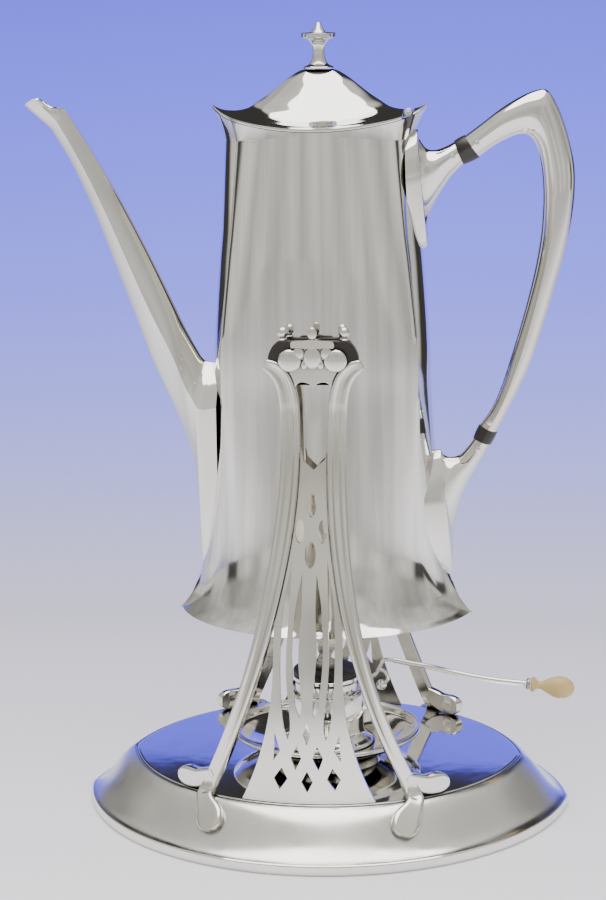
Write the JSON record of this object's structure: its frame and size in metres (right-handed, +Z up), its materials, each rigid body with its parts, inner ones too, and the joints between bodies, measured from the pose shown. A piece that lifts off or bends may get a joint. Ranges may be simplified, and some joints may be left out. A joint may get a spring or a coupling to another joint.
{
  "type": "tea kettle on stand",
  "caption": "Tall silver tea kettle with a hinged lid, long spout and looped handle, hung to tilt between two pierced scroll legged frames over a spirit lamp on a pointed oval base.",
  "frame": {"origin": "under the middle of the whole from spout to knob, on the surface that it stands on; the base's own middle is 9.1 mm towards the handle", "axes": "+X towards the handle and the lamp's knob, -X towards the spout, +Y away from the front frame, +Z up"},
  "size_m": [0.2458, 0.194, 0.3545],
  "materials": {
    "silver": "polished silver plate, bright and slightly warm",
    "dark_silver": "silver dulled by tarnish",
    "ebony": "near black hardwood, waxed",
    "blackened": "blackened by the flame, matte",
    "ivory": "ivory coloured, faintly polished",
    "wick": "twisted cotton"
  },
  "bodies": {
    "stand": {"base_foot_rim": "silver", "base_tray": "silver", "leg_front_right": "silver", "leg_front_left": "silver", "leg_back_right": "silver", "leg_back_left": "silver", "pierced_panel_front": "silver", "pierced_panel_back": "silver", "bearing_yoke_front": "silver", "bearing_yoke_back": "silver", "ebony_bearing_front": "ebony", "ebony_bearing_back": "ebony", "rosette_front": "silver", "rosette_back": "silver", "ball_pin_front_left": "silver", "ball_pin_front_right": "silver", "ball_pin_back_left": "silver", "ball_pin_back_right": "silver"},
    "kettle": {"kettle_body": "silver", "kettle_bottom": "silver", "spout": "silver", "trunnion_front": "dark_silver", "trunnion_back": "dark_silver", "handle_socket_upper": "silver", "handle_socket_lower": "silver", "insulator_upper": "ebony", "insulator_lower": "ebony", "handle_grip": "silver", "handle_pin_upper_socket": "silver", "handle_pin_upper_grip": "silver", "handle_pin_lower_grip": "silver", "handle_pin_lower_socket": "silver", "hinge_plate": "silver", "lid_hinge_pin": "silver"},
    "lid": {"lid": "silver", "lid_bezel": "silver", "finial": "silver", "finial_nut": "silver"},
    "lamp": {"lamp_dish": "silver", "lamp_reservoir": "silver", "burner_tube": "dark_silver", "wick": "wick"},
    "regulator": {"damper_plate": "blackened", "regulator_arm": "silver", "regulator_rod": "silver", "knob_ferrule": "dark_silver", "regulator_knob": "ivory"}
  },
  "joints": [
    {"name": "kettle_tilt", "type": "hinge", "parent": "stand", "child": "kettle", "pos_m": [0.00914, 0, 0.2125], "axis": [0, -1, 0], "range_deg": [0, 65]},
    {"name": "lid_hinge", "type": "hinge", "parent": "kettle", "child": "lid", "pos_m": [0.04864, 0, 0.3154], "axis": [0, 1, 0], "range_deg": [0, 95]},
    {"name": "lamp_slide", "type": "slide", "parent": "stand", "child": "lamp", "axis": [1, 0, 0], "range_m": [0, 0.06]},
    {"name": "regulator_swing", "type": "hinge", "parent": "lamp", "child": "regulator", "pos_m": [0.00914, 0, 0.0241], "axis": [0, 0, 1], "range_deg": [-20, 20]}
  ]
}
